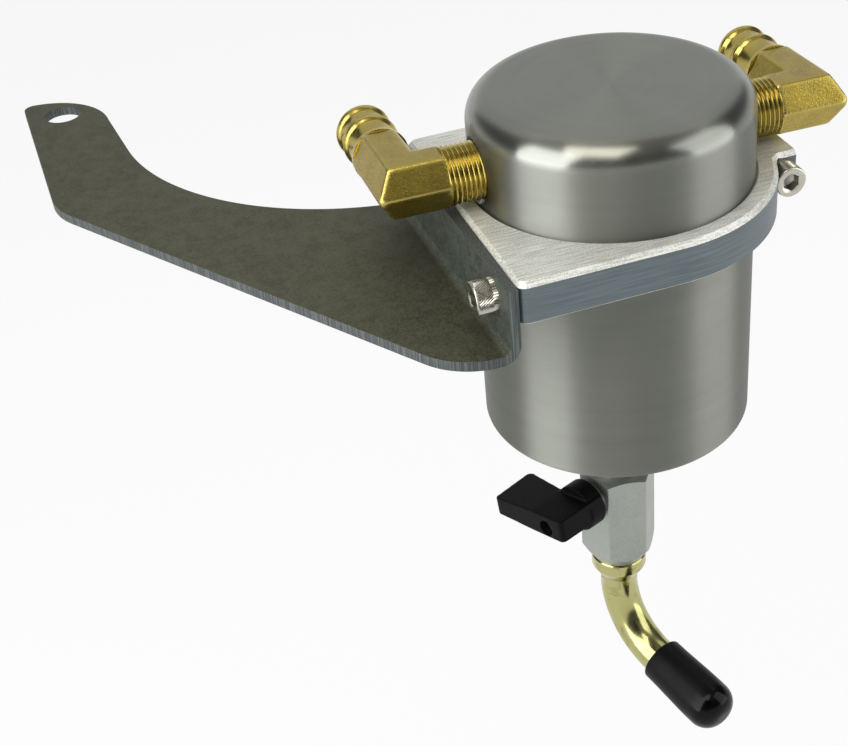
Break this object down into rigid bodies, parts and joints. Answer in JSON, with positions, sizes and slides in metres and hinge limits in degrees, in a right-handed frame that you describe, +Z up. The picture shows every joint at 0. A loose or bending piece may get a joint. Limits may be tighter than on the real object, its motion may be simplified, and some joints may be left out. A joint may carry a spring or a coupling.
{
  "type": "oil catch can",
  "caption": "Turned metal oil catch can in a split clamp plate on a bent bracket, with hose elbows, a separator inside and a drain valve with a capped tube.",
  "frame": {"origin": "centre of the bracket's bolt hole, on the underside of the arm", "axes": "+Z up along the can's axis, +X from the bracket's flange towards the clamp's ears, +Y along the flange towards the arm's tip"},
  "size_m": [0.2264, 0.2296, 0.2225],
  "materials": {
    "turned_aluminium": "satin, finely turned",
    "milled_aluminium": "fine milled",
    "sheet_steel": "matte mill finish",
    "screw_steel": "bright with knurled heads",
    "brass": "forged and turned",
    "valve_metal": "satin nickel plate",
    "stem_steel": "polished",
    "tube_zinc": "yellow zinc plate",
    "handle_plastic": "moulded, fine grain",
    "cap_vinyl": "dipped, glossy",
    "seal_rubber": "matte",
    "seat_plastic": "plain",
    "baffle_steel": "plain sheet",
    "mesh": "knitted mesh"
  },
  "bodies": {
    "housing": {"upper_housing": "turned_aluminium", "separator_baffle": "baffle_steel", "mesh_pad": "mesh", "baffle_ring": "baffle_steel", "clamp_plate": "milled_aluminium", "clamp_screw": "screw_steel", "mounting_bracket": "sheet_steel", "bracket_screws": "screw_steel", "inlet_elbow": "brass", "outlet_elbow": "brass"},
    "seal": {"body_seal": "seal_rubber"},
    "cup": {"lower_cup": "turned_aluminium", "valve_body": "valve_metal", "upper_seat": "seat_plastic", "lower_seat": "seat_plastic", "seat_retainer": "valve_metal", "stem_seal": "seal_rubber", "drain_tube": "tube_zinc"},
    "lever": {"valve_ball": "stem_steel", "valve_stem": "stem_steel", "valve_handle": "handle_plastic", "handle_screw": "screw_steel"},
    "cap": {"drain_cap": "cap_vinyl"}
  },
  "joints": [
    {"name": "cup_lift", "type": "slide", "parent": "housing", "child": "seal", "axis": [0, 0, -1], "range_m": [0, 0.0085]},
    {"name": "cup_turn", "type": "hinge", "parent": "seal", "child": "cup", "pos_m": [0.1414, -0.1668, 0], "axis": [0, 0, -1], "range_deg": [0, 1440]},
    {"name": "valve_turn", "type": "hinge", "parent": "cup", "child": "lever", "pos_m": [0.1414, -0.1668, -0.09202], "axis": [-0.9245, -0.3811, 0], "range_deg": [-10, 80]},
    {"name": "drain_cap_pull", "type": "slide", "parent": "cup", "child": "cap", "axis": [0.3027, -0.9371, -0.1736], "range_m": [0, 0.03]}
  ],
  "couplings": [
    {"joint": "cup_lift", "follows": "cup_turn", "m_per_rad": 0.00033688}
  ]
}
